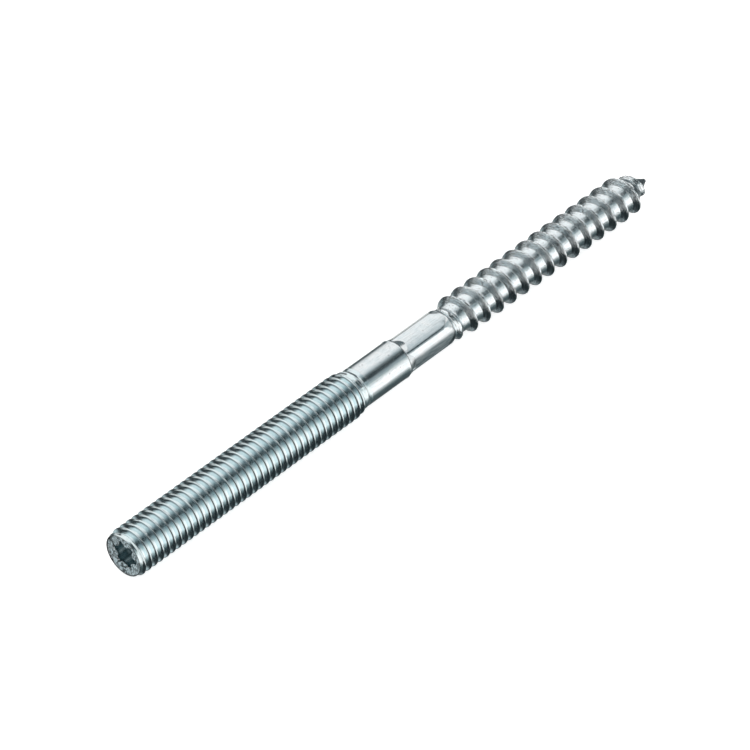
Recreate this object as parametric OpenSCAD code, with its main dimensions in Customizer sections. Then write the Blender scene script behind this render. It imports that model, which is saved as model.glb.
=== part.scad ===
// Hanger bolt: a metric machine thread at one end and a coarse wood thread with a gimlet point at the other.
// One piece of cold formed steel, lying along +X with its wood point at +X and its lowest line on the floor.
// The machine thread is its major diameter cylinder, and the wood thread is cut in full.

/* [Machine end] */
// Major diameter of the machine thread
machine_d = 7.8; // [7:0.05:10]
// Length from the end face to where the full machine thread stops
machine_len = 47.4; // [20:0.1:80]
// Diameter of the flat end face inside its chamfer
face_d = 7; // [6.2:0.05:7]
// Length of the chamfer round the end face
chamfer_len = 0.4; // [0.2:0.05:1]
// Length over which the machine thread runs out to the collar
runout_len = 3.1; // [1:0.1:5]

/* [Drive recess] */
// Width of the six-lobe recess across the tips of two lobes
drive_tip_d = 4.5; // [4:0.05:5]
// Width of the six-lobe recess across the ribs between the lobes
drive_rib_d = 3.3; // [2.8:0.05:3.5]
// Radius of each rib between two lobes
drive_rib_r = 0.9; // [0.7:0.05:1.1]
// Depth of the recess at full section
drive_depth = 2.9; // [1.5:0.1:4]
// Diameter of the conical floor below the full section
drive_floor_d = 3.1; // [2:0.05:3.2]
// Depth of the conical floor
drive_floor_len = 0.6; // [0.2:0.05:1]
// Turn of the lobes about the bolt's axis, in degrees
drive_turn = 8; // [0:1:59]

/* [Collar] */
// Diameter of the plain round collar
collar_d = 6.66; // [6.6:0.02:6.9]
// Length of the plain round collar
collar_len = 8.75; // [4:0.05:20]

/* [Pressed hexagon] */
// Width across the flats of the pressed hexagon
hex_flats = 5.95; // [5.7:0.01:6.1]
// Diameter over the rounded corners left between the flats
hex_corner_d = 6.56; // [6.4:0.01:6.6]
// Length from the collar to the first turn of the wood thread
hex_len = 11.05; // [6:0.05:20]
// Length of the rounded shoulder by which the collar drops to the flats
hex_shoulder_len = 1.65; // [0.5:0.05:3]
// Radius of that shoulder, seen from the side
hex_shoulder_r = 6; // [5:0.5:20]
// Length over which the corners round off to where the flats end
hex_end_len = 2.25; // [1:0.05:3]
// Radius of that rounding, seen from the side
hex_end_r = 12; // [10:0.5:30]
// Length of the round neck between the flats and the first turn of the wood thread
hex_neck_len = 0.45; // [0.3:0.05:1]
// Length over which a steep cone, taken from the height of the corners, drops to that neck
hex_drop_len = 0.87; // [0.6:0.01:1.2]
// Turn of the flats about the bolt's axis, in degrees
hex_turn = 43; // [0:1:59]

/* [Wood thread] */
// Diameter over the crests of the wood thread
wood_crest_d = 7.24; // [6.6:0.02:7.6]
// Diameter of the core between the crests
wood_core_d = 5.36; // [5:0.02:5.4]
// Distance from one crest to the next
wood_pitch = 3.07; // [2.6:0.01:3.4]
// Length from the hexagon to the end of the point
wood_len = 49.7; // [25:0.1:70]
// Length along the axis of each sloping side of the ridge
wood_flank_len = 0.52; // [0.3:0.02:0.7]
// Width of the ridge's crest
wood_crest_w = 0.26; // [0.1:0.02:0.4]
// Diameter of the round neck on which the wood thread starts
neck_d = 5.46; // [5.42:0.01:5.6]
// Turn of the wood thread about the bolt's axis, in degrees
wood_turn = 93; // [0:1:359]
// Turn over which the ridge rises from the neck to its full height, in degrees
wood_rise_turn = 290; // [180:10:360]

/* [Point] */
// Length of the cone that the core comes down to
point_core_len = 5; // [3:0.1:9]
// Length over which the crests come down to the point
point_crest_len = 5.5; // [3:0.1:9]
// Height of the ridge at the small end of the point
point_ridge_h = 0.5; // [0.2:0.05:0.8]
// Length of plain point beyond the last of the ridge
point_plain_len = 1; // [0.5:0.1:2]
// Length over which the last of the ridge fades out
point_fade_len = 0.9; // [0.3:0.1:2]
// Diameter of the blunt end of the point
point_end_d = 0.3; // [0.1:0.05:0.6]

/* [Hidden] */

// Smoothness of round surfaces, and how many flats make one turn of the wood thread
$fn = 96;
wood_sides = 32;

// Places along the axis, counted from the end face
runout_x = machine_len;
collar_x = runout_x + runout_len;
hex_x = collar_x + collar_len;
wood_x = hex_x + hex_len;
bolt_len = wood_x + wood_len;
hex_flat_x = hex_x + hex_shoulder_len;
hex_end_x = wood_x - hex_neck_len;

// Pieces that are joined reach into each other by this much, and cuts run past the face by as much.
overrun = 0.5;

// The helical surface of the wood thread: its first and last turns are squeezed into a thin band each, which
// closes the surface almost square to the axis. Each turn has these stations: foot, crest, crest, foot, root.
band_len = 0.12;
band_x = wood_x - band_len - overrun / 2;
point_x = bolt_len - band_len;
wood_turns = (point_x - band_x - band_len) / wood_pitch;
root_len = wood_pitch - wood_crest_w - 2 * wood_flank_len;
station_x = [
    0,
    wood_flank_len,
    wood_flank_len + wood_crest_w,
    2 * wood_flank_len + wood_crest_w,
    2 * wood_flank_len + wood_crest_w + root_len / 2
];
turn_stations = len(station_x);
last_station = turn_stations * floor(1 + wood_turns);

function ramp(x) = max(0, min(1, x));

// Centre, on the axis side, of an arc of radius r from a to b, which are given as radius and place along the axis
function arc_centre(a, b, r) =
    let (chord = b - a, half = norm(chord) / 2)
    (a + b) / 2 + [-chord[1], chord[0]] * sqrt(r * r - half * half) / (2 * half);

// How far round the helix a vertex lies, in turns
function helix_turn(i, j) =
    floor(i / turn_stations) + station_x[i % turn_stations] / wood_pitch + j / wood_sides;

// Place along the axis at that turn
function helix_x(turn) =
    turn < 1 ? band_x + band_len * turn
    : turn < 1 + wood_turns ? band_x + band_len + wood_pitch * (turn - 1)
    : point_x + band_len * min(1, turn - 1 - wood_turns);

function core_r(x) =
    point_end_d / 2
    + (wood_core_d - point_end_d) / 2 * ramp((bolt_len - x) / point_core_len);

function crest_r(x) =
    point_end_d / 2 + point_ridge_h
    + (wood_crest_d / 2 - point_end_d / 2 - point_ridge_h) * ramp((bolt_len - x) / point_crest_len);

function on_crest(i) = i % turn_stations == 1 || i % turn_stations == 2;

function ridge_h(i, turn, x) =
    on_crest(i)
    ? (crest_r(x) - core_r(x))
        * ramp(360 * (turn - 1) / wood_rise_turn)
        * ramp((bolt_len - point_plain_len - x) / point_fade_len)
    : 0;

function vertex(i, j) =
    let (
        turn = helix_turn(i, j),
        x = helix_x(turn),
        r = core_r(x) + ridge_h(i, turn, x),
        angle = 360 * j / wood_sides
    )
    [x, r * cos(angle), r * sin(angle)];

// Number of a vertex in the list: a column past the last one is the first column, one turn further on.
function id(i, j) = j < wood_sides ? i * wood_sides + j : id(i + turn_stations, j - wood_sides);

// Lays a shape drawn along Z down along the bolt's axis, turned about it from +Y towards +Z.
module along_x(turn = 0) {
    rotate([turn, 0, 0]) rotate([0, 90, 0]) rotate(90) children();
}

// Trims the profile of a round shape beyond a point by an arc that goes through that point and a later one.
module round_off(from, to, r) {
    centre = arc_centre(from, to, r);
    intersection() {
        children();
        union() {
            translate([0, -overrun]) square([machine_d, centre[1] + overrun]);
            translate(centre) circle(r = r);
        }
    }
}

module machine_end() {
    along_x() rotate_extrude()
        round_off([collar_d / 2, hex_x], [hex_flats / 2, hex_flat_x], hex_shoulder_r)
        polygon([
            [0, 0],
            [face_d / 2, 0],
            [machine_d / 2, chamfer_len],
            [machine_d / 2, runout_x],
            [collar_d / 2, collar_x],
            [collar_d / 2, hex_flat_x + overrun],
            [0, hex_flat_x + overrun]
        ]);
}

module drive_profile() {
    difference() {
        circle(d = drive_tip_d);
        for (k = [0 : 5])
            rotate(30 + 60 * k) translate([drive_rib_d / 2 + drive_rib_r, 0]) circle(r = drive_rib_r);
    }
}

module drive_recess() {
    along_x(drive_turn) {
        translate([0, 0, -overrun]) linear_extrude(height = drive_depth + overrun) drive_profile();
        translate([0, 0, drive_depth]) cylinder(h = drive_floor_len, r1 = drive_floor_d / 2, r2 = 0);
    }
}

module pressed_hexagon() {
    intersection() {
        along_x() rotate_extrude()
            round_off(
                [hex_corner_d / 2, hex_end_x - hex_end_len],
                [hex_flats / 2, hex_end_x],
                hex_end_r
            )
            polygon([
                [0, hex_x - overrun],
                [hex_corner_d / 2, hex_x - overrun],
                [hex_corner_d / 2, wood_x - hex_drop_len],
                [neck_d / 2, wood_x],
                [0, wood_x]
            ]);
        along_x(hex_turn) rotate(30) translate([0, 0, hex_x - 2 * overrun])
            cylinder(h = hex_len + 4 * overrun, d = hex_flats / cos(30), $fn = 6);
    }
}

module wood_thread() {
    points = [
        for (i = [0 : last_station], j = [0 : wood_sides - 1]) vertex(i, j),
        [band_x, 0, 0],
        [bolt_len, 0, 0]
    ];
    start_centre = (last_station + 1) * wood_sides;
    end_centre = start_centre + 1;
    edge = wood_sides - 1;
    faces = [
        for (i = [0 : last_station - 1], j = [0 : wood_sides - 2])
            each [
                [id(i, j), id(i + 1, j), id(i + 1, j + 1)],
                [id(i, j), id(i + 1, j + 1), id(i, j + 1)]
            ],
        for (i = [0 : last_station - turn_stations - 1])
            each [
                [id(i, edge), id(i + 1, edge), id(i + 1, wood_sides)],
                [id(i, edge), id(i + 1, wood_sides), id(i, wood_sides)]
            ],
        for (i = [0 : turn_stations - 1]) [id(0, edge), id(i + 1, 0), id(i, 0)],
        for (i = [last_station - turn_stations : last_station - 1])
            [id(last_station, 0), id(i, edge), id(i + 1, edge)],
        for (j = [0 : edge]) [start_centre, id(0, j), id(0, (j + 1) % wood_sides)],
        for (j = [0 : edge]) [end_centre, id(last_station, (j + 1) % wood_sides), id(last_station, j)]
    ];
    rotate([wood_turn, 0, 0]) polyhedron(points = points, faces = faces);
}

module hanger_bolt() {
    color([0.76, 0.79, 0.81])
        translate([-bolt_len / 2, 0, machine_d / 2])
        union() {
            difference() {
                machine_end();
                drive_recess();
            }
            pressed_hexagon();
            wood_thread();
        }
}

hanger_bolt();
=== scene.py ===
"""Hanger bolt, dressed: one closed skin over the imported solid, its zinc finish, and the studio it lies in.

Lengths are in millimetres, counted along the bolt from its end face, until the mesh is made in metres. An angle
about the bolt is counted from +Y towards +Z, seen from its machine end.
"""

from __future__ import annotations

import logging
import math
from dataclasses import dataclass, field
from enum import Enum

import bpy
import numpy as np
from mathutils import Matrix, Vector


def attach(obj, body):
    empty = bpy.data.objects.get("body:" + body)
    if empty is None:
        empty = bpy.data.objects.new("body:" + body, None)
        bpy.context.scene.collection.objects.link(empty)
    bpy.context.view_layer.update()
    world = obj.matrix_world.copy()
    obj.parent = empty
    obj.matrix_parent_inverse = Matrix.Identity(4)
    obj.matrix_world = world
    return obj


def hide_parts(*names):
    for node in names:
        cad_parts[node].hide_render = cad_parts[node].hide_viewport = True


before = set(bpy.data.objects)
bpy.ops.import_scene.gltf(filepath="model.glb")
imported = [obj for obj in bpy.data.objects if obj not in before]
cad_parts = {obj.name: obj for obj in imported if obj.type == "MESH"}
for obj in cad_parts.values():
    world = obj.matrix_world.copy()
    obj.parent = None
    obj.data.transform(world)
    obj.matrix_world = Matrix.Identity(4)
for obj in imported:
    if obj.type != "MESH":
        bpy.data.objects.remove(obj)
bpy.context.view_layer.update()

log = logging.getLogger("hanger_bolt")

Socket = bpy.types.NodeSocket
Colour = tuple[float, float, float, float]

MM = 0.001
NODE = "hanger_bolt"
HALF_LEN = 60.0
AXIS_Z = 3.9
TAU = 2 * math.pi
SHARP_DEG = 34.0


class Zone(Enum):
    """Named zones of the skin, kept on its vertices as an attribute that the finish reads."""

    RECESS = 0.0
    FACE = 0.2
    MACHINE = 0.4
    SHANK = 0.6
    WOOD = 0.8
    POINT = 1.0


# ---------------------------------------------------------------------------------------------------------------
# Helpers that work on whole arrays
# ---------------------------------------------------------------------------------------------------------------


def ramp(x: np.ndarray) -> np.ndarray:
    """Straight ramp from 0 to 1, flat outside it."""
    return np.clip(x, 0.0, 1.0)


def ease(x: np.ndarray) -> np.ndarray:
    """Smooth ramp from 0 to 1: three squares less two cubes of the straight one."""
    s = ramp(x)
    return s * s * (3 - 2 * s)


def bell(x: np.ndarray, middle: float, width: float) -> np.ndarray:
    """Rounded bump of height 1 about a middle: e to minus the square of distance over width."""
    return np.exp(-(((x - middle) / width) ** 2))


def turn_gap(psi: np.ndarray, middle_deg: float) -> np.ndarray:
    """Signed angle in radians from a middle, given in degrees, to each psi, in the half turn either side."""
    return (psi - math.radians(middle_deg) + math.pi) % TAU - math.pi


def lattice_noise(x: np.ndarray, psi: np.ndarray, cell_mm: float, cells_round: int, seed: int) -> np.ndarray:
    """Seeded value noise on the skin, between -1 and 1, that closes round the bolt.

    Random values sit on a lattice of cell_mm along the axis and cells_round round it. Between them the value is
    the eased mean of the four round it.

    Args:
        x: Places along the axis.
        psi: Angles about it, of the same shape.
        cell_mm: Length of a lattice cell along the axis.
        cells_round: Number of lattice cells in a full turn.
        seed: Seed of the random values.

    Returns:
        The noise, in the shape of x.
    """
    rows = int(2 * HALF_LEN / cell_mm) + 4
    table = np.random.default_rng(seed).uniform(-1.0, 1.0, (rows, cells_round))
    u = np.clip(x / cell_mm + 1.0, 0.0, rows - 2.0)
    v = (psi / TAU) % 1.0 * cells_round
    i, j = np.floor(u).astype(int), np.floor(v).astype(int) % cells_round
    fu, fv = ease(u - i), ease(v - np.floor(v))
    j1 = (j + 1) % cells_round
    low = table[i, j] * (1 - fv) + table[i, j1] * fv
    high = table[i + 1, j] * (1 - fv) + table[i + 1, j1] * fv
    return low * (1 - fu) + high * fu


def arc_between(x: np.ndarray, start: tuple[float, float], end: tuple[float, float], radius: float) -> np.ndarray:
    """Height of a convex arc through two points (place along the axis, distance from it).

    The arc's centre lies on the axis side of the chord, at the radius from both points. Before the start the
    height stays that of the arc's start, and after the end that of its end.

    Args:
        x: Places along the axis.
        start: Start of the arc.
        end: End of the arc, further along the axis.
        radius: Radius of the arc.

    Returns:
        The height at each x.
    """
    a, b = np.array(start), np.array(end)
    chord = b - a
    half = np.hypot(*chord) / 2
    centre = (a + b) / 2 + np.array([chord[1], -chord[0]]) * math.sqrt(radius**2 - half**2) / (2 * half)
    s = np.clip(x, start[0], end[0]) - centre[0]
    return centre[1] + np.sqrt(radius**2 - s**2)


# ---------------------------------------------------------------------------------------------------------------
# The skin: rings and helical bands that share their edges, so it is one closed surface
# ---------------------------------------------------------------------------------------------------------------


@dataclass
class Columns:
    """Angles at which every ring of the skin has a vertex, set so that the pressed flats end on one."""

    flat_turn_deg: float = 43.0
    flat_half_deg: float = 24.9
    edge_deg: float = 1.1
    bead_deg: float = 3.0
    on_flat: int = 12

    def angles(self) -> np.ndarray:
        """Angles of one full turn: six times a flat and the ridge after it, closer together at their edges.

        Returns:
            The angles in radians, sorted.
        """
        half = self.flat_half_deg
        inset = half - 2 * self.edge_deg
        inner = np.linspace(-inset, inset, self.on_flat)
        sector = np.array([-half, self.edge_deg - half, *inner, half - self.edge_deg])
        after = 60 - half
        ridge = [half, half + self.edge_deg, half + self.bead_deg, after - self.bead_deg, after - self.edge_deg]
        sector = np.concatenate([sector, ridge])
        deg = np.concatenate([sector + self.flat_turn_deg + 60 * k for k in range(6)])
        return np.radians(np.sort(deg % 360.0))


@dataclass
class Skin:
    """A closed surface built up from its near pole to its far pole."""

    psi: np.ndarray
    points: list[np.ndarray] = field(default_factory=list)
    marks: list[np.ndarray] = field(default_factory=list)
    triangles: list[np.ndarray] = field(default_factory=list)
    count: int = 0
    edge: np.ndarray | None = None

    def _add(self, x: np.ndarray, r: np.ndarray, psi: np.ndarray, zone: Zone, height: np.ndarray) -> np.ndarray:
        """Adds vertices at cylinder coordinates, with the values that the finish reads.

        Args:
            x: Places along the axis.
            r: Distances from the axis.
            psi: Angles about it.
            zone: Zone of the skin.
            height: Share of a ridge's height, 0 in a groove and 1 on a crest; on a ring, its share of painted shading
                instead.

        Returns:
            The numbers of the new vertices.
        """
        ids = np.arange(self.count, self.count + x.size)
        self.points.append(np.stack([x, r * np.cos(psi), r * np.sin(psi)], axis=-1).reshape(-1, 3))
        marks = np.stack([np.full(x.shape, zone.value), height, x / (2 * HALF_LEN)], axis=-1)
        self.marks.append(marks.reshape(-1, 3))
        self.count += x.size
        return ids.reshape(x.shape)

    def pole(self, x: float, zone: Zone, offset: tuple[float, float] = (0.0, 0.0)) -> None:
        """Closes the skin with a fan at one point on or near the axis.

        Args:
            x: Place along the axis.
            zone: Zone of the skin.
            offset: Distance from the axis along +Y and +Z.
        """
        r = np.array([math.hypot(*offset)])
        psi = np.array([math.atan2(offset[1], offset[0])])
        here = self._add(np.array([x]), r, psi, zone, np.zeros(1))
        if self.edge is None:
            self.edge = here
            return
        fan = np.stack([np.roll(self.edge, -1), np.full(len(self.edge), here[0]), self.edge], axis=-1)
        self.triangles.append(fan)
        self.edge = here

    def ring(
        self, x: np.ndarray | float, r: np.ndarray | float, zone: Zone, painted_shading: np.ndarray | float = 0.0
    ) -> None:
        """Adds a ring and joins it to the skin's edge.

        Args:
            x: Place along the axis, one for the ring or one for each column.
            r: Distance from the axis, one for the ring or one for each column.
            zone: Zone of the skin.
            painted_shading: Share of painted light and shade (painted highlights in the recess, painted shade on the
                rim and on the hexagon's lower flat), kept where a thread keeps the height of its ridge.
        """
        size = len(self.psi)
        x, r = np.broadcast_to(x, size).astype(float), np.broadcast_to(r, size).astype(float)
        here = self._add(x, r, self.psi, zone, np.broadcast_to(painted_shading, size).astype(float))
        there = np.roll(here, -1)
        if self.edge is not None and len(self.edge) == 1:
            self.triangles.append(np.stack([np.full(size, self.edge[0]), here, there], axis=-1)[:, ::-1])
        elif self.edge is not None:
            before, after = self.edge, np.roll(self.edge, -1)
            self.triangles.append(np.stack([before, here, there], axis=-1)[:, ::-1])
            self.triangles.append(np.stack([before, there, after], axis=-1)[:, ::-1])
        self.edge = here

    def helix(self, band: HelicalBand) -> None:
        """Joins a helical band to the skin's edge.

        The band is a grid of stations by columns, unrolled along its helix: a column past the last is the first
        column one turn on. A vertex before the band's start is the edge's vertex in its column, one past its end
        is that of a new ring, and triangles that lose a side by this are dropped.

        Args:
            band: The band, whose start is where the skin's edge lies.
        """
        size, per_turn = len(self.psi), len(band.stations)
        turns = int(math.ceil((band.x_end - band.x_start) / band.pitch)) + 3
        rows = np.arange(turns * per_turn)
        along = rows // per_turn - 1 + np.asarray(band.stations)[rows % per_turn]
        tau = along[:, None] + self.psi[None, :] / TAU
        x = band.x_start - band.pitch + band.pitch * tau
        psi = np.broadcast_to(self.psi, x.shape)
        r, height = band.radius(x, psi)
        inside = (x > band.x_start) & (x < band.x_end)
        ids = np.empty(x.shape, dtype=int)
        ids[inside] = self._add(x[inside], r[inside], psi[inside], band.zone, height[inside])
        end_x = np.full(size, band.x_end)
        end_r, end_height = band.radius(end_x, self.psi)
        end = self._add(end_x, end_r, self.psi, band.zone, end_height)
        ids = np.where(x <= band.x_start, np.broadcast_to(self.edge, x.shape), ids)
        ids = np.where(x >= band.x_end, np.broadcast_to(end, x.shape), ids)
        wrapped = np.concatenate([ids[per_turn:, 0], np.full(per_turn, end[0])])
        grid = np.concatenate([ids, wrapped[:, None]], axis=1)
        a, b = grid[:-1, :-1].ravel(), grid[1:, :-1].ravel()
        c, d = grid[1:, 1:].ravel(), grid[:-1, 1:].ravel()
        both = np.concatenate([np.stack([a, c, b], axis=-1), np.stack([a, d, c], axis=-1)])
        whole = (both[:, 0] != both[:, 1]) & (both[:, 1] != both[:, 2]) & (both[:, 2] != both[:, 0])
        self.triangles.append(both[whole])
        self.edge = end

    def mesh(self, name: str) -> bpy.types.Mesh:
        """Makes the skin's mesh in metres, in the row's frame.

        Args:
            name: Name of the mesh.

        Returns:
            The mesh, smooth but for its sharp edges.
        """
        points = np.concatenate(self.points)
        points = np.stack([points[:, 0] - HALF_LEN, points[:, 1], points[:, 2] + AXIS_Z], axis=-1) * MM
        faces = np.concatenate(self.triangles)
        mesh = bpy.data.meshes.new(name)
        mesh.vertices.add(len(points))
        mesh.vertices.foreach_set("co", points.astype(np.float32).ravel())
        mesh.loops.add(faces.size)
        mesh.loops.foreach_set("vertex_index", faces.astype(np.int32).ravel())
        mesh.polygons.add(len(faces))
        mesh.polygons.foreach_set("loop_start", np.arange(0, faces.size, 3, dtype=np.int32))
        mesh.polygons.foreach_set("loop_total", np.full(len(faces), 3, dtype=np.int32))
        for k, key in enumerate(("zone", "height", "along")):
            layer = mesh.attributes.new(key, "FLOAT", "POINT")
            layer.data.foreach_set("value", np.concatenate(self.marks)[:, k].astype(np.float32))
        mesh.update(calc_edges=True)
        mesh.validate()
        mesh.polygons.foreach_set("use_smooth", np.ones(len(mesh.polygons), dtype=bool))
        mesh.set_sharp_from_angle(angle=math.radians(SHARP_DEG))
        return mesh


@dataclass
class HelicalBand:
    """A stretch of thread: a profile that winds on by one pitch a turn."""

    x_start: float
    x_end: float
    pitch: float
    crest_x: float
    crest_deg: float
    zone: Zone
    profile: tuple[tuple[float, float], ...]

    @property
    def stations(self) -> list[float]:
        """Stations of the grid in turns, sorted: the profile's own breaks, moved to the crest's phase."""
        phase = (self.crest_x - self.x_start) / self.pitch + 1 - self.crest_deg / 360
        return sorted((phase + d / self.pitch) % 1.0 for d, _ in self.profile)

    def share(self, d: np.ndarray) -> np.ndarray:
        """Share of the ridge's height at a distance from the crest, straight between the profile's points."""
        return np.interp(d, *zip(*self.profile), period=self.pitch)

    def from_crest(self, x: np.ndarray, psi: np.ndarray) -> tuple[np.ndarray, np.ndarray]:
        """Distance from the nearest crest, and the way gone along the helix.

        Args:
            x: Places along the axis.
            psi: Angles about it.

        Returns:
            Distance along the axis from the nearest crest's middle, and the turns that its ridge has made there.
        """
        wound = (psi - math.radians(self.crest_deg)) / TAU
        v = (x - self.crest_x) / self.pitch - wound
        k = np.round(v)
        return (v - k) * self.pitch, k + wound

    def radius(self, x: np.ndarray, psi: np.ndarray) -> tuple[np.ndarray, np.ndarray]:
        """Distance of the skin from the axis, and the share of the ridge's height; each thread says its own."""
        raise NotImplementedError


# ---------------------------------------------------------------------------------------------------------------
# Sub-assemblies
# ---------------------------------------------------------------------------------------------------------------


@dataclass
class DriveEnd:
    """End face with its six-lobe recess, from the recess floor out to the rim."""

    tip_r: float = 2.25
    rib_r: float = 1.65
    rib_round: float = 0.9
    turn_deg: float = 8.0
    depth: float = 2.9
    cone_len: float = 0.6
    cone_r: float = 1.55
    cone_shares: tuple[float, ...] = (0.35, 0.7, 1.0)
    # Rings at the foot of the wall: height above the floor, and distance inside the outline
    foot: tuple[tuple[float, float], ...] = ((0.0, 0.06), (0.05, 0.0), (0.3, 0.0))
    wall_from: float = 0.4
    wall_to: float = 0.32
    wall_rings: int = 8
    wall_rough: float = 0.014
    # Painted highlights in the recess: along the ribs, and a glint low on one lobe
    rib_shine: float = 0.7
    rib_turn: float = 0.14
    glint_deg: float = -52.0
    glint_rise: float = 0.3
    glint_len: float = 0.15
    glint_turn: float = 0.16
    # Rings of the rounded mouth: depth below the face, and share of the way out to its edge
    mouth: tuple[tuple[float, float], ...] = ((0.12, 0.12), (0.06, 0.38), (0.02, 0.68))
    mouth_least: float = 0.02
    mouth_grow: float = 0.15
    dish: float = 0.24
    face_x: float = 0.11
    face_r: float = 3.44
    face_shares: tuple[float, ...] = (0.0, 0.08, 0.2, 0.32, 0.44, 0.56, 0.68, 0.8, 0.9, 1.0)
    flat_rim: float = 0.08
    coarse: float = 0.03
    fine: float = 0.016
    rim_width: float = 0.13
    # Rings of the raised rim: place along the axis, and distance outside the face's radius
    rim: tuple[tuple[float, float], ...] = ((0.06, -0.07), (0.01, 0.0), (0.04, 0.03))

    def lobes(self, psi: np.ndarray) -> np.ndarray:
        """Polar outline of the recess.

        It is a circle through the lobe tips, less a circle at each rib: the near crossing of the ray with that
        circle, its centre's distance times the cosine less the root of its radius and sine terms squared.

        Args:
            psi: Angles about the axis.

        Returns:
            The outline's distance from the axis.
        """
        centre = self.rib_r + self.rib_round
        gap = self._rib_gap(psi)
        under = self.rib_round**2 - (centre * np.sin(gap)) ** 2
        rib = np.where(under > 0, centre * np.cos(gap) - np.sqrt(np.maximum(under, 0)), self.tip_r)
        return np.minimum(self.tip_r, rib)

    def add_to(self, skin: Skin) -> None:
        """Adds the recess, its rounded mouth, the dished face and its raised rim.

        Args:
            skin: The skin, still without an edge.
        """
        psi = skin.psi
        outline = self.lobes(psi)
        self._add_recess(skin, outline)
        grow = self.mouth_least + self.mouth_grow * (outline - self.rib_r) / (self.tip_r - self.rib_r)
        for sunk, share in self.mouth:
            skin.ring(self.dish + self.face_x + sunk, outline + grow * share, Zone.FACE)
        inner = outline + grow
        for share in self.face_shares:
            r = inner + (self.face_r - self.rim_width - inner) * share
            skin.ring(self._face_height(r, psi), r, Zone.FACE)
        # The rim's rings get full painted shading, which the finish paints dark: a painted shade line along the rim
        for x, out in self.rim:
            skin.ring(x, self.face_r + out, Zone.FACE, 1.0)

    def _add_recess(self, skin: Skin, outline: np.ndarray) -> None:
        """Adds the conical floor and the drawn wall, with painted highlights along the ribs and a painted glint low
        on a lobe.

        Args:
            skin: The skin, still without an edge.
            outline: Distance of the wall from the axis in each column.
        """
        psi = skin.psi
        skin.pole(self.depth + self.cone_len, Zone.RECESS)
        for share in self.cone_shares:
            skin.ring(self.depth + self.cone_len * (1 - share), self.cone_r * share, Zone.RECESS)
        for rise, inset in self.foot:
            x = self.depth - rise
            skin.ring(x, outline - inset, Zone.RECESS, self._glint(x, psi))
        ribs = self.rib_shine * bell(self._rib_gap(psi), 0.0, self.rib_turn)
        for x in np.linspace(self.depth - self.wall_from, self.dish + self.wall_to, self.wall_rings):
            drawn = self.wall_rough * lattice_noise(np.full(psi.shape, x), psi, 1.5, 48, 11)
            skin.ring(x, outline + drawn, Zone.RECESS, ribs + self._glint(x, psi))

    def _rib_gap(self, psi: np.ndarray) -> np.ndarray:
        """Signed angle in radians from the middle of the nearest rib."""
        return (psi - math.radians(self.turn_deg)) % (math.pi / 3) - math.pi / 6

    def _glint(self, x: float, psi: np.ndarray) -> np.ndarray:
        """Share of the painted glint: a bell along the axis times a bell round it."""
        along = bell(np.full(psi.shape, x), self.depth - self.glint_rise, self.glint_len)
        return along * bell(turn_gap(psi, self.glint_deg), 0.0, self.glint_turn)

    def _face_height(self, r: np.ndarray, psi: np.ndarray) -> np.ndarray:
        """Place of the rough face: a dish that falls from the rim to the mouth, and two sizes of pitting.

        The pitting fades out at the mouth and at the rim.

        Args:
            r: Distances from the axis.
            psi: Angles about it.

        Returns:
            Places along the axis, none before the end face.
        """
        flat_r = self.face_r - self.flat_rim
        fall = self.dish * ramp((flat_r - r) / (flat_r - self.tip_r))
        coarse = self.coarse * (1 + lattice_noise(r * 4, psi, 2.0, 22, 21))
        fine = self.fine * (1 + lattice_noise(r * 9, psi, 1.4, 50, 22))
        kept = ramp((r - 1.7) / 0.4) * ramp((self.face_r - r) / 0.25)
        return self.face_x + fall + (coarse + fine) * kept


@dataclass
class MachineThread(HelicalBand):
    """Metric thread from the rim to the collar, which deepens behind the chamfer and runs out at its far end."""

    x_start: float = 0.07
    x_end: float = 50.5
    pitch: float = 1.25
    crest_x: float = 4.61
    crest_deg: float = 174.3
    zone: Zone = Zone.MACHINE
    profile: tuple[tuple[float, float], ...] = (
        (-0.52, 0.0), (-0.34, 0.43), (-0.22, 0.73), (-0.09, 0.955), (-0.02, 1.0),
        (0.05, 0.99), (0.11, 0.87), (0.29, 0.43), (0.47, 0.0), (0.6, -0.01),
    )
    crest_r: float = 3.885
    root_r: float = 3.2
    chamfer_r: float = 3.5
    chamfer_len: float = 1.0
    deepen_x: float = 0.22
    deepen_len: float = 0.95
    full_x: float = 47.2
    faded_x: float = 50.3
    fill_x: float = 47.6
    fill_len: float = 2.4
    collar_r: float = 3.33
    wander: float = 0.012
    nick: float = 0.035
    torn: float = 0.018
    step: float = 0.05
    step_len: float = 0.14

    def radius(self, x: np.ndarray, psi: np.ndarray) -> tuple[np.ndarray, np.ndarray]:
        """Root plus ridge, under an outline that opens at the chamfer and closes at the run-out.

        The root deepens behind the chamfer and fills up at the run-out, and a small step leads to the collar.
        The crests are nicked here and there, and the last turns are torn.

        Args:
            x: Places along the axis.
            psi: Angles about it.

        Returns:
            Distance from the axis, and the share of the ridge's height.
        """
        d, _ = self.from_crest(x, psi)
        wander = self.wander * lattice_noise(x, psi, 1.1, 14, 31)
        s = self.share(d + wander * ramp((x - 1) / 2))
        opening = ramp((x - self.x_start) / self.chamfer_len)
        closing = ease((x - self.full_x) / (self.faded_x - self.full_x))
        outline = self.chamfer_r + (self.crest_r - self.chamfer_r) * opening
        outline = outline + (self.collar_r - 0.03 - self.crest_r) * closing
        root = self.chamfer_r + (self.root_r - self.chamfer_r) * ease((x - self.deepen_x) / self.deepen_len)
        root = root + (self.collar_r - 0.05 - self.root_r) * ease((x - self.fill_x) / self.fill_len)
        nicks = self.nick * ramp(lattice_noise(x, psi, 0.45, 46, 32) - 0.35) * s
        late = ease((x - self.full_x + 1) / 2) * (1 - ramp(x - self.faded_x))
        r = root + (outline - root) * s - nicks + self.torn * lattice_noise(x, psi, 0.3, 90, 33) * late
        step = self.step * ease((x - self.x_end + self.step_len + 0.02) / self.step_len)
        return np.minimum(r + step, self.crest_r), s


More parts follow.
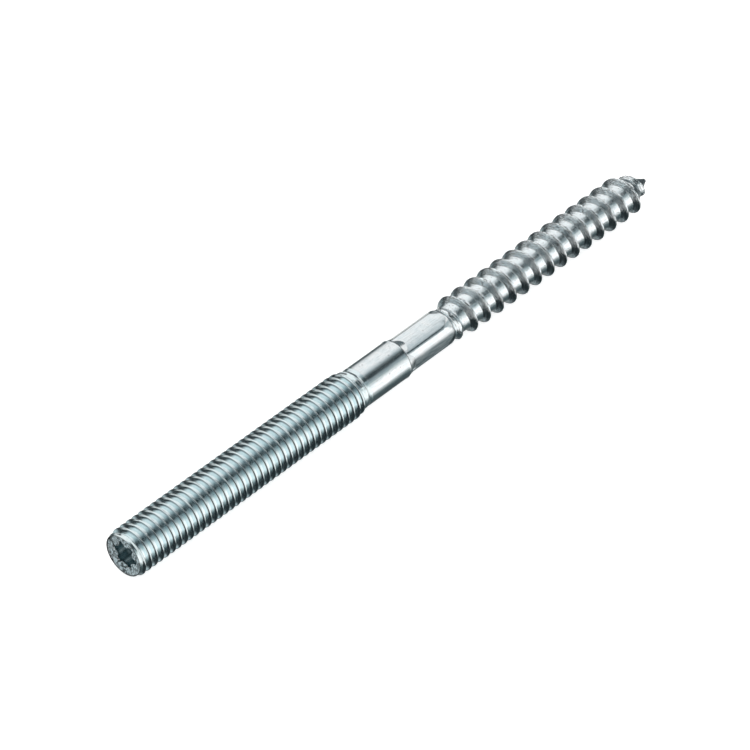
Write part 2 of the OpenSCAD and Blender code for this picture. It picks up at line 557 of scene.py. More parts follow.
# Small pits of the collar and flats: place along the axis, angle, size and depth
PITS = (
    (65.3, 88.0, 0.13, 0.06),
    (63.1, 91.0, 0.1, 0.04),
    (53.2, 82.0, 0.12, 0.05),
    (54.4, 104.0, 0.1, 0.04),
)


@dataclass
class Shank:
    """Plain collar, the pressed hexagon with its narrow ridges, and the neck before the wood thread."""

    collar_r: float = 3.33
    hex_x: float = 59.25
    shoulder_len: float = 1.65
    shoulder_round: float = 60.0
    flats_r: float = 2.975
    crown: float = 0.09
    flat_turn_deg: float = 43.0
    ridge_r: float = 3.28
    ridge_deg: float = 24.9
    ridge_edge: float = 0.03
    bead: float = 0.022
    bead_at: float = 1.19
    end_start_x: float = 67.6
    end_x: float = 69.85
    end_round: float = 12.0
    drop_x: float = 69.43
    neck_x: float = 70.25
    neck_r: float = 2.72
    lip: float = 0.05
    lump: float = 0.05
    grain: float = 0.003
    # Angle of the painted shade on the hexagon's lower flat, which stands in for the shaded floor that it reflects
    flat_shade_deg: float = 173.0
    lean_deg: float = 133.0
    lean_least: float = 0.02
    lean_slope: float = 0.5

    def add_to(self, skin: Skin) -> None:
        """Adds the rings of the collar and of the pressed hexagon, whose lower flat is marked for painted shade on
        its lower part.

        Args:
            skin: The skin, whose edge is the end of the machine thread.
        """
        # The rings lie closest at the collar's ends and on the shoulder
        collar = np.concatenate([[50.62, 50.9], np.linspace(51.4, 58.7, 14)])
        lip = self.hex_x + np.array([-0.2, -0.12, -0.06, 0.0, 0.06, 0.12, 0.2])
        pressed = np.concatenate([lip, np.linspace(59.6, 61.2, 9), np.linspace(61.4, 67.4, 34)])
        end = np.linspace(self.end_start_x, 70.12, 13)
        gap = turn_gap(skin.psi, self.flat_shade_deg)
        # Painted shade over the lower part of the hexagon's lower flat, passed to the finish as painted shading
        lower_flat_shade = ramp((gap + 0.33) / 0.22) * (gap < 0.3)
        for x in np.concatenate([collar, pressed, end]):
            painted_shading = lower_flat_shade * ramp((x - self.hex_x - 0.5) / 0.8)
            skin.ring(x, self._radius(np.full(skin.psi.shape, x), skin.psi), Zone.SHANK, painted_shading)
        skin.ring(self.neck_x, self.neck_r, Zone.SHANK)

    def _radius(self, x: np.ndarray, psi: np.ndarray) -> np.ndarray:
        """Radius of the collar and the pressed hexagon: the form that the press leaves, plus marks on its surface.

        The marks are a raised lip where the collar ends, lumps by the neck, small pits and a fine grain.

        Args:
            x: Places along the axis.
            psi: Angles about it.

        Returns:
            Distances from the axis.
        """
        r = self._formed(x, psi)
        lip = self.lip * bell(x, self.hex_x - 0.05, 0.06)
        by_neck = ease((x - self.end_start_x - 0.3) / 1.2) * ramp((self.neck_x - x) / 0.1)
        lumps = self.lump * by_neck * lattice_noise(x, psi, 0.55, 26, 43)
        pits = sum(
            depth * bell(x, pit_x, size) * bell(turn_gap(psi, deg) * r, 0.0, size) for pit_x, deg, size, depth in PITS
        )
        return r + lip + lumps - pits + self.grain * lattice_noise(x, psi, 2.2, 40, 42)

    def _formed(self, x: np.ndarray, psi: np.ndarray) -> np.ndarray:
        """Radius of the collar, or of the flats and ridges that the pressing leaves.

        A flat lies at its distance over the cosine of the angle from its normal, a little crowned. The ridge
        caps it, beaded along its edge, and the one that the camera faces leans a little. The nearly straight
        shoulder stays where the press didn't reach, and the far end is trimmed by an arc and then a cone.

        Args:
            x: Places along the axis.
            psi: Angles about it.

        Returns:
            Distances from the axis.
        """
        gap = (psi - math.radians(self.flat_turn_deg) + math.pi / 6) % (math.pi / 3) - math.pi / 6
        across = np.degrees(np.abs(gap)) / self.ridge_deg
        crown = self.crown * (0.5 - np.minimum(across, 1.0) ** 2)
        pressed = (self.flats_r + crown) / np.cos(gap)
        off_lean = turn_gap(psi, self.lean_deg)
        lean = (self.lean_least + self.lean_slope * off_lean) * bell(off_lean, 0.0, 0.5)
        beads = self.bead * (1 + lattice_noise(x, psi, 0.21, 90, 41)) * bell(across, self.bead_at, 0.07)
        ridge = np.minimum(pressed, self.ridge_r) + (lean + beads) * ramp((across - 1.0) / self.ridge_edge)
        flat_x = self.hex_x + self.shoulder_len
        shoulder = arc_between(x, (self.hex_x, self.collar_r), (flat_x, self.flats_r), self.shoulder_round)
        r = np.maximum(ridge, np.where(x > flat_x, 0.0, shoulder))
        late = arc_between(x, (self.end_start_x, self.ridge_r + 0.02), (self.end_x, self.flats_r), self.end_round)
        r = np.where(x < self.hex_x + 3, r, np.minimum(r, np.where(x < self.end_start_x, self.ridge_r + 0.05, late)))
        r = np.where(x > self.hex_x, r, self.collar_r)
        drop = self.ridge_r + (self.neck_r - self.ridge_r) * (x - self.drop_x) / (self.neck_x - self.drop_x)
        return np.where(x > self.drop_x, np.minimum(r, drop), r)


@dataclass
class WoodThread(HelicalBand):
    """Coarse thread, which rises from the neck over most of a turn and comes down to the point."""

    x_start: float = 70.25
    x_end: float = 118.9
    pitch: float = 3.07
    crest_x: float = 73.3
    crest_deg: float = 37.8
    zone: Zone = Zone.WOOD
    profile: tuple[tuple[float, float], ...] = (
        (-0.88, 0.0), (-0.8, 0.05), (-0.66, 0.245), (-0.5, 0.47), (-0.34, 0.695), (-0.2, 0.88),
        (-0.1, 0.965), (-0.02, 1.0), (0.08, 0.98), (0.26, 0.7), (0.44, 0.38), (0.6, 0.12), (0.72, 0.02),
        (0.98, 0.0), (1.26, 0.0), (1.54, 0.0), (1.9, 0.0),
    )
    crest_r: float = 3.62
    core_r: float = 2.68
    start_x: float = 70.2
    rise_deg: float = 290.0
    bolt_len: float = 120.0
    core_down: float = 5.0
    crest_down: float = 5.5
    ridge_end: float = 0.5
    end_r: float = 0.15
    plain_len: float = 1.0
    fade_len: float = 0.9
    wander: float = 0.035
    early_wander: float = 0.05
    torn: float = 0.035
    early_torn: float = 0.1
    late_torn: float = 0.06
    pit: float = 0.075
    rough: float = 0.008
    late_rough: float = 0.04

    def radius(self, x: np.ndarray, psi: np.ndarray) -> tuple[np.ndarray, np.ndarray]:
        """Core plus ridge, both drawn down to the point, with torn crests, pits and a rough skin.

        Args:
            x: Places along the axis.
            psi: Angles about it.

        Returns:
            Distance from the axis, and the share of the ridge's height.
        """
        d, turn = self.from_crest(x, psi)
        early = ramp(1 - (turn + 1.0) / 2.2)
        s = self.share(d + (self.wander + self.early_wander * early) * lattice_noise(x, psi, 0.8, 16, 51))
        left = self.bolt_len - x
        core = self.end_r + (self.core_r - self.end_r) * ramp(left / self.core_down)
        top = self.end_r + self.ridge_end
        crest = top + (self.crest_r - top) * ramp(left / self.crest_down)
        begin = (self.start_x - self.crest_x) / self.pitch
        rise = ramp((turn - begin) * 360 / self.rise_deg)
        grown = rise * ramp((left - self.plain_len) / self.fade_len)
        torn = self.torn + self.early_torn * early + self.late_torn * ease((x - 112) / 5)
        tear = torn * lattice_noise(x, psi, 0.35, 60, 52) * ease(s * 1.6 - 0.3)
        pits = self.pit * ramp(lattice_noise(x, psi, 0.6, 44, 53) - 0.72)
        rough = (self.rough + self.late_rough * ease((x - 114) / 3)) * lattice_noise(x, psi, 0.35, 30, 54)
        r = core + (crest - core) * s * grown - np.abs(tear) * grown - pits + rough
        return np.clip(r, 0.1, 3.66), s * grown


@dataclass
class GimletTip:
    """Plain rough cone beyond the last of the ridge, ending a little off the axis."""

    rings_x: tuple[float, ...] = (119.15, 119.45, 119.75, 119.92)
    blunt_x: float = 119.9
    blunt_share: float = 0.55
    end_x: float = 119.985
    offset: tuple[float, float] = (-0.06, -0.05)

    def add_to(self, skin: Skin, thread: WoodThread) -> None:
        """Adds the cone's rings and its pole.

        Args:
            skin: The skin, whose edge is the end of the wood thread.
            thread: The wood thread, which gives the cone's size.
        """
        for x in self.rings_x:
            at = np.full(skin.psi.shape, x)
            r, _ = thread.radius(at, skin.psi)
            skin.ring(x, r * (1.0 if x < self.blunt_x else self.blunt_share), Zone.POINT)
        skin.pole(self.end_x, Zone.POINT, self.offset)


# ---------------------------------------------------------------------------------------------------------------
# Finish
# ---------------------------------------------------------------------------------------------------------------


def node_group(name: str, inputs: dict[str, float], outputs: tuple[tuple[str, str], ...]) -> bpy.types.NodeTree:
    """Makes an empty shader node group with named number inputs.

    Args:
        name: Name of the group.
        inputs: Name and first value of each input.
        outputs: Name and socket type of each output.

    Returns:
        The group, with its input and output nodes in it.
    """
    tree = bpy.data.node_groups.new(name, "ShaderNodeTree")
    for key, value in inputs.items():
        socket = tree.interface.new_socket(key, in_out="INPUT", socket_type="NodeSocketFloat")
        socket.default_value = value
    for key, kind in outputs:
        tree.interface.new_socket(key, in_out="OUTPUT", socket_type=kind)
    tree.nodes.new("NodeGroupInput")
    tree.nodes.new("NodeGroupOutput")
    return tree


@dataclass
class Wiring:
    """Short way to add nodes to a tree and join them."""

    tree: bpy.types.NodeTree

    def add(self, kind: str, links: dict | None = None, **settings: object) -> bpy.types.Node:
        """Adds a node, sets it, and joins or sets its inputs.

        Args:
            kind: Blender's name of the node's type.
            links: Input name or number against a socket to join it to or a value to set.
            settings: The node's own settings.

        Returns:
            The node.
        """
        node = self.tree.nodes.new(kind)
        for key, value in settings.items():
            setattr(node, key, value)
        for key, value in (links or {}).items():
            if isinstance(value, Socket):
                self.tree.links.new(value, node.inputs[key])
            else:
                node.inputs[key].default_value = value
        return node

    def maths(self, operation: str, *values: Socket | float, clamp: bool = False) -> Socket:
        """Adds a Math node and gives its result."""
        node = self.add("ShaderNodeMath", dict(enumerate(values)), operation=operation, use_clamp=clamp)
        return node.outputs[0]

    def spread(self, value: Socket, low: float, high: float, to_low: float, to_high: float) -> Socket:
        """Adds a clamped Map Range node and gives its result."""
        links = {"Value": value, "From Min": low, "From Max": high, "To Min": to_low, "To Max": to_high}
        return self.add("ShaderNodeMapRange", links, clamp=True).outputs["Result"]

    def blend(self, share: Socket | float, first: Socket | Colour, second: Socket | Colour) -> Socket:
        """Adds a colour mix.

        Args:
            share: Share of the second colour.
            first: Colour where the share is 0.
            second: Colour where the share is 1.

        Returns:
            The mixed colour.
        """
        node = self.add("ShaderNodeMix", data_type="RGBA")
        for index, value in ((0, share), (6, first), (7, second)):
            if isinstance(value, Socket):
                self.tree.links.new(value, node.inputs[index])
            else:
                node.inputs[index].default_value = value
        return node.outputs[2]

    def attribute(self, name: str) -> Socket:
        """Adds an Attribute node that reads one of the skin's values."""
        return self.add("ShaderNodeAttribute", attribute_name=name).outputs["Fac"]

    def ends(self) -> tuple[bpy.types.Node, bpy.types.Node]:
        """Input and output node of a group."""
        found = {node.type: node for node in self.tree.nodes}
        return found["GROUP_INPUT"], found["GROUP_OUTPUT"]


def drawing_lines() -> bpy.types.NodeTree:
    """Group of fine lines along the bolt, left by drawing and rolling.

    Noise is stretched along X, so that it changes quickly round the bolt and slowly along it.

    Returns:
        The group, with output Value.
    """
    tree = node_group(
        "drawing_lines",
        {"Fineness": 9000.0, "Stretch": 0.06},
        (("Value", "NodeSocketFloat"),),
    )
    w = Wiring(tree)
    start, end = w.ends()
    place = w.add("ShaderNodeTexCoord").outputs["Object"]
    squeeze = w.add("ShaderNodeCombineXYZ", {"X": start.outputs["Stretch"], "Y": 1.0, "Z": 1.0}).outputs[0]
    stretched = w.add("ShaderNodeVectorMath", {0: place, 1: squeeze}, operation="MULTIPLY").outputs[0]
    noise = w.add("ShaderNodeTexNoise", {"Vector": stretched, "Scale": start.outputs["Fineness"], "Detail": 3.0})
    tree.links.new(noise.outputs[0], end.inputs["Value"])
    return tree


def plating_mottle() -> bpy.types.NodeTree:
    """Group of cloudy plating and small dark pits.

    Clouds are plain noise. Pits are the cells of a Voronoi pattern whose distance from its middle is small, kept
    only where a second noise is high.

    Returns:
        The group, with outputs Clouds, Pits and Height.
    """
    tree = node_group(
        "plating_mottle",
        {"Cloud Scale": 900.0, "Pit Scale": 1400.0, "Pit Share": 0.5},
        (("Clouds", "NodeSocketFloat"), ("Pits", "NodeSocketFloat"), ("Height", "NodeSocketFloat")),
    )
    w = Wiring(tree)
    start, end = w.ends()
    place = w.add("ShaderNodeTexCoord").outputs["Object"]
    clouds = w.add("ShaderNodeTexNoise", {"Vector": place, "Scale": start.outputs["Cloud Scale"], "Detail": 5.0})
    cells = w.add("ShaderNodeTexVoronoi", {"Vector": place, "Scale": start.outputs["Pit Scale"]})
    near = w.spread(cells.outputs["Distance"], 0.05, 0.3, 1.0, 0.0)
    where = w.add("ShaderNodeTexNoise", {"Vector": place, "Scale": start.outputs["Cloud Scale"], "Detail": 2.0})
    limit = w.maths("SUBTRACT", 1.0, start.outputs["Pit Share"])
    over = w.maths("SUBTRACT", where.outputs[0], limit)
    kept = w.maths("MULTIPLY", over, 8.0, clamp=True)
    pits = w.maths("MULTIPLY", near, kept, clamp=True)
    tree.links.new(clouds.outputs[0], end.inputs["Clouds"])
    tree.links.new(pits, end.inputs["Pits"])
    tree.links.new(w.maths("SUBTRACT", clouds.outputs[0], pits), end.inputs["Height"])
    return tree


def rolled_lines() -> bpy.types.NodeTree:
    """Group of fine lines along a thread's flank, left by the rolling dies.

    Noise changes quickly with the share of the ridge's height and slowly round the bolt.

    Returns:
        The group, with output Value.
    """
    tree = node_group("rolled_lines", {"Fineness": 16.0, "Around": 120.0}, (("Value", "NodeSocketFloat"),))
    w = Wiring(tree)
    start, end = w.ends()
    place = w.add("ShaderNodeSeparateXYZ", {0: w.add("ShaderNodeTexCoord").outputs["Object"]})
    high = w.attribute("height")
    around = [w.maths("MULTIPLY", place.outputs[k], start.outputs["Around"]) for k in (0, 1)]
    at = w.add("ShaderNodeCombineXYZ", {"X": high, "Y": around[0], "Z": around[1]}).outputs[0]
    noise = w.add("ShaderNodeTexNoise", {"Vector": at, "Scale": start.outputs["Fineness"], "Detail": 3.0})
    tree.links.new(noise.outputs[0], end.inputs["Value"])
    return tree


@dataclass(frozen=True)
class SurfaceMarks:
    """Masks of the skin's zones and patterns of the plating, as sockets of a material's tree."""

    face: Socket
    recess: Socket
    machine: Socket
    shank: Socket
    wood: Socket
    # Share of a thread's ridge height; on rings, the share of painted highlights and painted shade
    height: Socket
    along: Socket
    lines: Socket
    rolled: Socket
    clouds: Socket
    pits: Socket
    mottle_height: Socket
    fine_clouds: Socket
    fine_pits: Socket
    fine_height: Socket

    @classmethod
    def read(cls, w: Wiring) -> SurfaceMarks:
        """Adds the attributes, the masks and the pattern groups to a material.

        Args:
            w: The material's wiring.

        Returns:
            The marks.
        """
        zone = w.attribute("zone")
        mottle = w.add("ShaderNodeGroup", node_tree=plating_mottle())
        finer = {"Cloud Scale": 2400.0, "Pit Scale": 2900.0, "Pit Share": 0.55}
        fine = w.add("ShaderNodeGroup", finer, node_tree=mottle.node_tree)
        return cls(
            face=w.maths("LESS_THAN", zone, 0.3),
            recess=w.maths("LESS_THAN", zone, 0.1),
            machine=cls._near(w, zone, Zone.MACHINE),
            shank=cls._near(w, zone, Zone.SHANK),
            wood=w.spread(zone, 0.62, 0.78, 0.0, 1.0),
            height=w.attribute("height"),
            along=w.attribute("along"),
            lines=w.add("ShaderNodeGroup", node_tree=drawing_lines()).outputs["Value"],
            rolled=w.add("ShaderNodeGroup", node_tree=rolled_lines()).outputs["Value"],
            clouds=mottle.outputs["Clouds"],
            pits=mottle.outputs["Pits"],
            mottle_height=mottle.outputs["Height"],
            fine_clouds=fine.outputs["Clouds"],
            fine_pits=fine.outputs["Pits"],
            fine_height=fine.outputs["Height"],
        )

    @staticmethod
    def _near(w: Wiring, zone: Socket, wanted: Zone) -> Socket:
        """Adds a mask that is 1 in a zone and falls to 0 at a tenth from its value."""
        away = w.maths("ABSOLUTE", w.maths("SUBTRACT", zone, wanted.value))
        return w.maths("MULTIPLY_ADD", away, -10.0, 1.0, clamp=True)


@dataclass(frozen=True)
class ZincPlate:
    """Bright zinc plating, slightly blue, with drawing lines, clouds and small pits, and dull in the recess. It
    paints shade: dark teal in the recess, dark on the rim and on the hexagon's lower flat; and it paints highlights
    along the recess's ribs and at a glint.
    """

    name: str = "zinc_plated_steel"
    light: Colour = (0.86, 0.92, 0.94, 1.0)
    blue: Colour = (0.77, 0.86, 0.89, 1.0)
    dull: Colour = (0.44, 0.5, 0.52, 1.0)
    dark: Colour = (0.1, 0.11, 0.11, 1.0)
    cyan: Colour = (0.75, 0.88, 0.91, 1.0)
    # Painted shade of the recess
    recess_shade: Colour = (0.12, 0.23, 0.26, 1.0)
    white: Colour = (0.88, 0.96, 0.99, 1.0)
    # Painted shade of the hexagon's lower flat
    painted_shading: Colour = (0.075, 0.11, 0.12, 1.0)
    roughness: float = 0.16
    bump_strength: float = 0.35
    bump_depth: float = 0.00006
    # Depth of the recess at which its dull film begins, and where it is whole
    film_from: float = 0.6
    film_whole: float = 1.1

    def material(self) -> bpy.types.Material:
        """Makes the material.

        Returns:
            The material, whose colour, roughness, share of bare metal and normal change over the surface.
        """
        made = bpy.data.materials.new(self.name)
        made.use_nodes = True
        made.node_tree.nodes.clear()
        w = Wiring(made.node_tree)
        marks = SurfaceMarks.read(w)
        ridged = w.maths("MULTIPLY", marks.wood, w.spread(marks.height, 0.04, 0.15, 0.0, 1.0))
        grain = w.spread(marks.lines, 0.3, 0.7, self.roughness - 0.04, self.roughness + 0.06)
        length = 2 * HALF_LEN
        film = w.spread(marks.along, self.film_from / length, self.film_whole / length, 0.0, 1.0)
        links = {
            "Base Color": self._colour(w, marks, ridged),
            "Roughness": w.maths("MULTIPLY_ADD", marks.face, 0.12, grain),
            "Metallic": w.maths("MULTIPLY_ADD", w.maths("MULTIPLY", marks.recess, film), -0.55, 1.0),
            "Normal": self._normal(w, marks, ridged),
        }
        shader = w.add("ShaderNodeBsdfPrincipled", links)
        w.add("ShaderNodeOutputMaterial", {"Surface": shader.outputs[0]})
        return made

    def _colour(self, w: Wiring, marks: SurfaceMarks, ridged: Socket) -> Socket:
        """Adds the colour: two tones of plating, then one layer after another, each with the share that it covers.
        Some layers are painted light: painted shade in the recess, on the rim and on the hexagon's lower flat, and
        painted highlights in the recess.

        Args:
            w: The material's wiring.
            marks: Masks and patterns.
            ridged: Mask of the wood thread's ridge.

        Returns:
            The colour.
        """
        pitted = w.maths("MULTIPLY_ADD", marks.face, 0.45, w.maths("MULTIPLY_ADD", marks.wood, 0.35, 0.35))
        stains = w.maths("MULTIPLY", w.spread(marks.fine_clouds, 0.46, 0.56, 0.97, 0.0), marks.face)
        # Painted shade: a dark line on the raised rim's rings
        rim = w.maths("MULTIPLY", w.maths("SUBTRACT", marks.face, marks.recess), marks.height)
        # The shank's share of painted shade on the hexagon's lower flat
        painted_flat_shade = w.maths("MULTIPLY", marks.height, marks.shank)
        layers = (
            (w.spread(marks.lines, 0.34, 0.5, 0.3, 0.0), self.dull),
            (w.maths("MULTIPLY", marks.pits, pitted), self.dark),
            (w.maths("MULTIPLY", stains, w.spread(marks.clouds, 0.42, 0.58, 1.0, 0.5)), self.dark),
            (w.maths("MULTIPLY", rim, 0.93), self.dark),
            # Painted shade: the recess coloured dark teal
            (w.maths("MULTIPLY", marks.recess, 0.9), self.recess_shade),
            # Painted highlights in the recess, along the ribs and at the glint
            (w.maths("MULTIPLY", marks.recess, marks.height, clamp=True), self.cyan),
            (w.maths("MULTIPLY", marks.wood, 0.7), self.white),
            (w.maths("MULTIPLY", w.maths("MULTIPLY", marks.fine_pits, marks.wood), 0.97), self.dark),
            # Painted shade on the lower part of the hexagon's lower flat
            (w.maths("MULTIPLY", painted_flat_shade, w.spread(marks.lines, 0.4, 0.62, 0.98, 0.82)), self.painted_shading),
            (w.maths("MULTIPLY", marks.machine, 0.75), self.cyan),
            (w.maths("MULTIPLY", ridged, w.spread(marks.rolled, 0.38, 0.52, 0.7, 0.0)), self.dark),
        )
        colour = w.blend(w.spread(marks.clouds, 0.35, 0.65, 0.0, 1.0), self.blue, self.light)
        for share, layer in layers:
            colour = w.blend(share, colour, layer)
        return colour

    def _normal(self, w: Wiring, marks: SurfaceMarks, ridged: Socket) -> Socket:
        """Adds the bump: drawing lines and mottle, finer mottle on the wood thread, and rolled lines on its ridge.

        It is deepest on the face, less deep on the wood thread and faint elsewhere.

        Args:
            w: The material's wiring.
            marks: Masks and patterns.
            ridged: Mask of the wood thread's ridge.

        Returns:
            The normal.
        """
        height = w.maths("MULTIPLY_ADD", marks.mottle_height, 0.8, marks.lines)
        height = w.maths("MULTIPLY_ADD", w.maths("MULTIPLY", marks.fine_height, marks.wood), 0.7, height)
        height = w.maths("MULTIPLY_ADD", w.maths("MULTIPLY", marks.rolled, ridged), 1.6, height)
        depth = w.maths("MULTIPLY_ADD", marks.face, 2.4, w.maths("MULTIPLY_ADD", marks.wood, 0.9, 0.15))
        links = {"Strength": self.bump_strength, "Distance": self.bump_depth}
        bump = w.add("ShaderNodeBump", {**links, "Height": w.maths("MULTIPLY", height, depth)})
        return bump.outputs[0]


# ---------------------------------------------------------------------------------------------------------------
# The whole bolt, the studio and the camera
# ---------------------------------------------------------------------------------------------------------------


@dataclass
class HangerBolt:
    """The bolt's sub-assemblies in order, from the recess to the point."""

    columns: Columns = field(default_factory=Columns)
    drive_end: DriveEnd = field(default_factory=DriveEnd)
    machine_thread: MachineThread = field(default_factory=MachineThread)
    shank: Shank = field(default_factory=Shank)
    wood_thread: WoodThread = field(default_factory=WoodThread)
    tip: GimletTip = field(default_factory=GimletTip)
    finish: ZincPlate = field(default_factory=ZincPlate)

    def build(self) -> bpy.types.Object:
        """Builds the skin, dresses it and lets it stand for the CAD node.

        Returns:
            The skin's object.
        """
        skin = Skin(self.columns.angles())
        self.drive_end.add_to(skin)
        start, _ = self.machine_thread.radius(np.full(skin.psi.shape, self.machine_thread.x_start), skin.psi)
        skin.ring(self.machine_thread.x_start, start, Zone.MACHINE)
        skin.helix(self.machine_thread)
        self.shank.add_to(skin)
        skin.helix(self.wood_thread)
        self.tip.add_to(skin, self.wood_thread)
        mesh = skin.mesh("hanger_bolt_skin")
        mesh.materials.append(self.finish.material())
        piece = bpy.data.objects.new("hanger_bolt_skin", mesh)
        bpy.context.scene.collection.objects.link(piece)
        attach(piece, "root")
        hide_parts(NODE)
        log.info("%s: %d triangles", piece.name, len(mesh.polygons))
        return piece


@dataclass(frozen=True)
class Card:
    """Card of the tent with soft edges, given by the direction looked in.

    Each edge is a pair: where the card begins and where it is whole, or where it stops being whole and ends.
    """

    colour: Colour
    x_from: tuple[float, float] | None = None
    x_to: tuple[float, float] | None = None
    y_from: tuple[float, float] | None = None
    y_to: tuple[float, float] | None = None
    z_from: tuple[float, float] | None = None
    z_to: tuple[float, float] | None = None

    def over(self, w: Wiring, way: tuple[Socket, Socket, Socket], colour: Socket | Colour) -> Socket:
        """Lays the card over a colour: its share is the product of what its edges leave.

        Args:
            w: The world's wiring.
            way: X, Y and Z of the direction looked in.
            colour: Colour without the card.

        Returns:
            The colour with the card.
        """
        x, y, z = way
        rises = ((x, self.x_from), (y, self.y_from), (z, self.z_from))
        falls = ((x, self.x_to), (y, self.y_to), (z, self.z_to))
        shares = [w.spread(value, *edge, 0.0, 1.0) for value, edge in rises if edge]
        shares += [w.spread(value, *edge, 1.0, 0.0) for value, edge in falls if edge]
        share = shares[0]
        for other in shares[1:]:
            share = w.maths("MULTIPLY", share, other)
        return w.blend(share, colour, self.colour)


# Colour of the tent by the angle about X, from straight up towards the camera's side: first as seen looking a
# little along +X, and then as seen looking nearly straight along +X
SIDE_TENT = (
    (-180, 0.07, 0.09, 0.095), (-150, 0.3, 0.32, 0.32), (-140, 0.95, 0.95, 0.93), (-124, 0.95, 0.95, 0.93),
    (-114, 0.1, 0.12, 0.12), (-104, 0.07, 0.09, 0.095), (-92, 0.09, 0.11, 0.115), (-82, 0.7, 0.7, 0.7),
    (-74, 0.88, 0.86, 0.85), (-59, 1.1, 1.06, 1.05), (-19, 1.1, 1.07, 1.06), (-7, 0.92, 0.92, 0.92),
    (4, 0.54, 0.59, 0.61), (15, 0.14, 0.17, 0.175), (25, 0.035, 0.048, 0.052), (36, 0.04, 0.055, 0.06),
    (41, 0.11, 0.14, 0.15), (47, 0.29, 0.34, 0.36), (57, 0.42, 0.48, 0.49), (66, 0.68, 0.73, 0.72),
    (77, 1.25, 1.2, 1.19), (90, 1.4, 1.34, 1.32), (114, 1.38, 1.32, 1.3), (120, 0.8, 0.8, 0.79),
    (130, 0.34, 0.38, 0.38), (143, 0.09, 0.12, 0.125), (165, 0.07, 0.09, 0.095), (180, 0.07, 0.09, 0.095),
)
END_TENT = (
    (-180, 0.3, 0.32, 0.32), (-140, 0.4, 0.42, 0.42), (-112, 0.08, 0.1, 0.105), (-60, 0.1, 0.12, 0.13),
    (-20, 0.14, 0.17, 0.18), (-13, 1.15, 1.1, 1.08), (22, 1.15, 1.1, 1.08), (32, 0.45, 0.5, 0.52),
    (60, 0.5, 0.55, 0.56), (75, 1.1, 1.06, 1.04), (118, 1.1, 1.06, 1.04), (135, 0.2, 0.22, 0.22),
    (180, 0.2, 0.22, 0.22),
)
# Dark cloth behind the camera, and dark gap at the far end of the tent
CLOTH: Colour = (0.026, 0.034, 0.037, 1.0)
GAP: Colour = (0.05, 0.06, 0.065, 1.0)
ROOM_WHITE: Colour = (1.0, 1.0, 1.0, 1.0)
OVERHEAD: Colour = (1.15, 1.12, 1.1, 1.0)
ROOF: Colour = (1.0, 1.0, 0.99, 1.0)
# Cards in front of that cloth, each over the ones before it
CARDS = (
    # grey-blue, above the far side
    Card((0.32, 0.39, 0.42, 1.0), y_from=(-0.3, -0.12), y_to=(0.45, 0.6), z_from=(0.1, 0.22), z_to=(0.44, 0.56)),
    # grey, level on the near side
    Card((0.22, 0.27, 0.29, 1.0), y_from=(-0.5, -0.43), y_to=(-0.36, -0.27), z_from=(-0.12, -0.04), z_to=(0.2, 0.3)),
    # pale, level on the far side
    Card((0.68, 0.82, 0.86, 1.0), y_from=(0.06, 0.16), y_to=(0.46, 0.56), z_from=(-0.12, -0.03), z_to=(0.2, 0.28)),
    # bright patch of floor beyond the bolt's end
    Card((1.45, 1.36, 1.33, 1.0), y_from=(-0.42, -0.34), y_to=(0.02, 0.1), z_from=(-0.52, -0.43), z_to=(-0.17, 0.0)),
    # pale floor on the far side
    Card((0.6, 0.68, 0.7, 1.0), y_from=(0.05, 0.2), z_to=(-0.3, -0.15)),
    # white overhead, and white close to the near side
    Card(OVERHEAD, y_from=(-0.25, -0.05), z_from=(0.62, 0.74)),
    Card(OVERHEAD, y_to=(-0.82, -0.72), z_to=(0.42, 0.6)),
    # pale roof, and its slanted end
    Card(ROOF, x_to=(-0.42, -0.34), z_from=(0.58, 0.68)),
    Card(ROOF, x_from=(-0.66, -0.58), x_to=(-0.42, -0.34), z_from=(0.02, 0.3)),
)


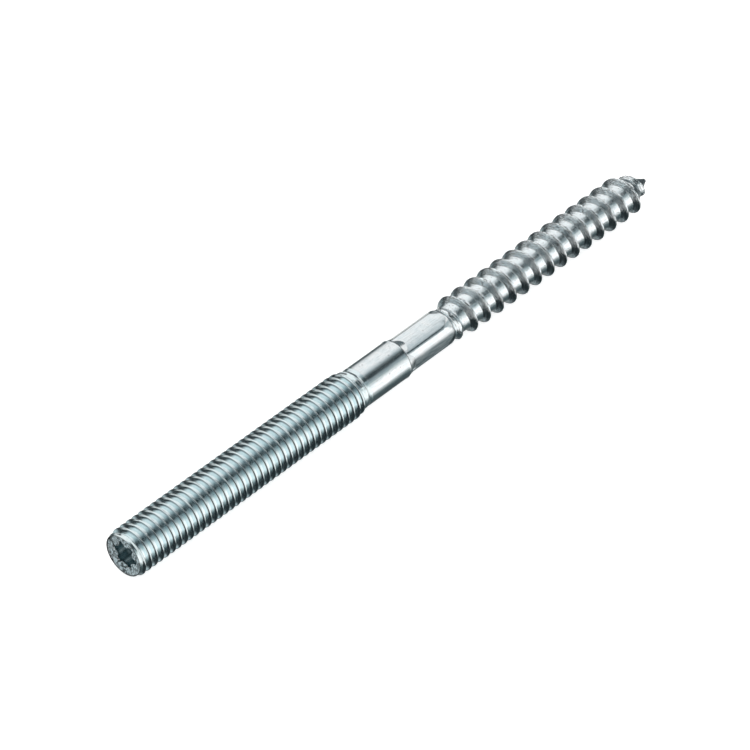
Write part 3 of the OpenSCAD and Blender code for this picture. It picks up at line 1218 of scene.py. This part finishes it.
@dataclass
class Studio:
    """Pale floor, and a world that is white to the camera and a light tent to the metal."""

    floor_half: float = 3.0
    floor_glow: float = 0.68
    in_metal: float = 0.92
    on_floor: float = 0.8
    backdrop: float = 1.0

    def build(self) -> None:
        """Makes the floor and the world."""
        self._floor()
        self._world()
        log.info("studio: floor and tent")

    def _floor(self) -> None:
        """Adds the pale floor at the bolt's lowest line."""
        h = self.floor_half
        mesh = bpy.data.meshes.new("floor")
        mesh.from_pydata([(-h, -h, 0), (h, -h, 0), (h, h, 0), (-h, h, 0)], [], [(0, 1, 2, 3)])
        made = bpy.data.materials.new("pale_floor")
        made.use_nodes = True
        made.node_tree.nodes.clear()
        w = Wiring(made.node_tree)
        links = {"Base Color": (0.8, 0.8, 0.8, 1), "Roughness": 0.9, "Emission Color": (1, 1, 1, 1)}
        shader = w.add("ShaderNodeBsdfPrincipled", {**links, "Emission Strength": self.floor_glow})
        w.add("ShaderNodeOutputMaterial", {"Surface": shader.outputs[0]})
        mesh.materials.append(made)
        floor = bpy.data.objects.new("floor", mesh)
        bpy.context.scene.collection.objects.link(floor)
        floor.visible_glossy = False

    def _world(self) -> None:
        """Makes the world: a tent for the metal, even light for the floor, and white for the camera.

        The tent's colour follows the angle about X of the direction looked in, with one ramp at the sides and
        another at the far end. Towards -X it is dark cloth with cards.
        """
        world = bpy.data.worlds.new("tent")
        bpy.context.scene.world = world
        world.use_nodes = True
        world.node_tree.nodes.clear()
        w = Wiring(world.node_tree)
        way = w.add("ShaderNodeSeparateXYZ", {0: w.add("ShaderNodeTexCoord").outputs["Generated"]})
        x, y, z = way.outputs
        beta = w.maths("ARCTAN2", w.maths("MULTIPLY", y, -1.0), z)
        share = w.maths("MULTIPLY_ADD", beta, 1 / TAU, 0.5)
        behind: Socket | Colour = CLOTH
        for card in CARDS:
            behind = card.over(w, (x, y, z), behind)
        side, end = self._ramp(w, share, SIDE_TENT), self._ramp(w, share, END_TENT)
        ahead = w.blend(w.spread(x, 0.66, 0.76, 0.0, 1.0), side, end)
        tent = w.blend(w.spread(x, -0.06, 0.05, 0.0, 1.0), behind, ahead)
        tent = w.blend(w.spread(x, 0.9, 0.95, 0.0, 1.0), tent, GAP)
        path = w.add("ShaderNodeLightPath").outputs
        metal, floor, camera = (
            w.add("ShaderNodeBackground", {"Color": colour, "Strength": strength}).outputs[0]
            for colour, strength in ((tent, self.in_metal), (ROOM_WHITE, self.on_floor), (ROOM_WHITE, self.backdrop))
        )
        lit = w.add("ShaderNodeMixShader", {0: path["Is Glossy Ray"], 1: floor, 2: metal}).outputs[0]
        seen = w.add("ShaderNodeMixShader", {0: path["Is Camera Ray"], 1: lit, 2: camera}).outputs[0]
        w.add("ShaderNodeOutputWorld", {"Surface": seen})

    @staticmethod
    def _ramp(w: Wiring, share: Socket, stops: tuple[tuple[float, ...], ...]) -> Socket:
        """Adds a colour ramp over the angle about X.

        Args:
            w: The world's wiring.
            share: The angle as a share, 0 at minus half a turn and 1 at plus half a turn.
            stops: Angle in degrees, then red, green and blue.

        Returns:
            The ramp's colour.
        """
        node = w.add("ShaderNodeValToRGB", {"Fac": share})
        elements = node.color_ramp.elements
        while len(elements) < len(stops):
            elements.new(0.5)
        for element, (deg, *colour) in zip(elements, stops):
            element.position = deg / 360 + 0.5
            element.color = (*colour, 1.0)
        return node.outputs[0]


@dataclass(frozen=True)
class PhotoCamera:
    """Camera at the photograph's angle."""

    target_mm: tuple[float, float, float] = (-5.43, -0.049, 3.862)
    back: tuple[float, float, float] = (-0.559, -0.508, 0.655)
    distance_mm: float = 610.8
    lens: float = 191.1

    def build(self) -> None:
        """Makes the camera and sets it as the scene's."""
        data = bpy.data.cameras.new("camera")
        data.lens, data.sensor_width = self.lens, 36.0
        data.clip_start, data.clip_end = 0.01, 20.0
        camera = bpy.data.objects.new("camera", data)
        bpy.context.scene.collection.objects.link(camera)
        back = Vector(self.back).normalized()
        camera.location = (Vector(self.target_mm) + back * self.distance_mm) * MM
        camera.rotation_mode = "QUATERNION"
        camera.rotation_quaternion = (-back).to_track_quat("-Z", "Y")
        bpy.context.scene.camera = camera


def main() -> None:
    """Builds the camera, the studio and the bolt in order."""
    logging.basicConfig(level=logging.INFO, format="%(name)s: %(message)s")
    bpy.context.scene.view_settings.view_transform = "Standard"
    PhotoCamera().build()
    Studio().build()
    HangerBolt().build()


if __name__ == "__main__":
    main()
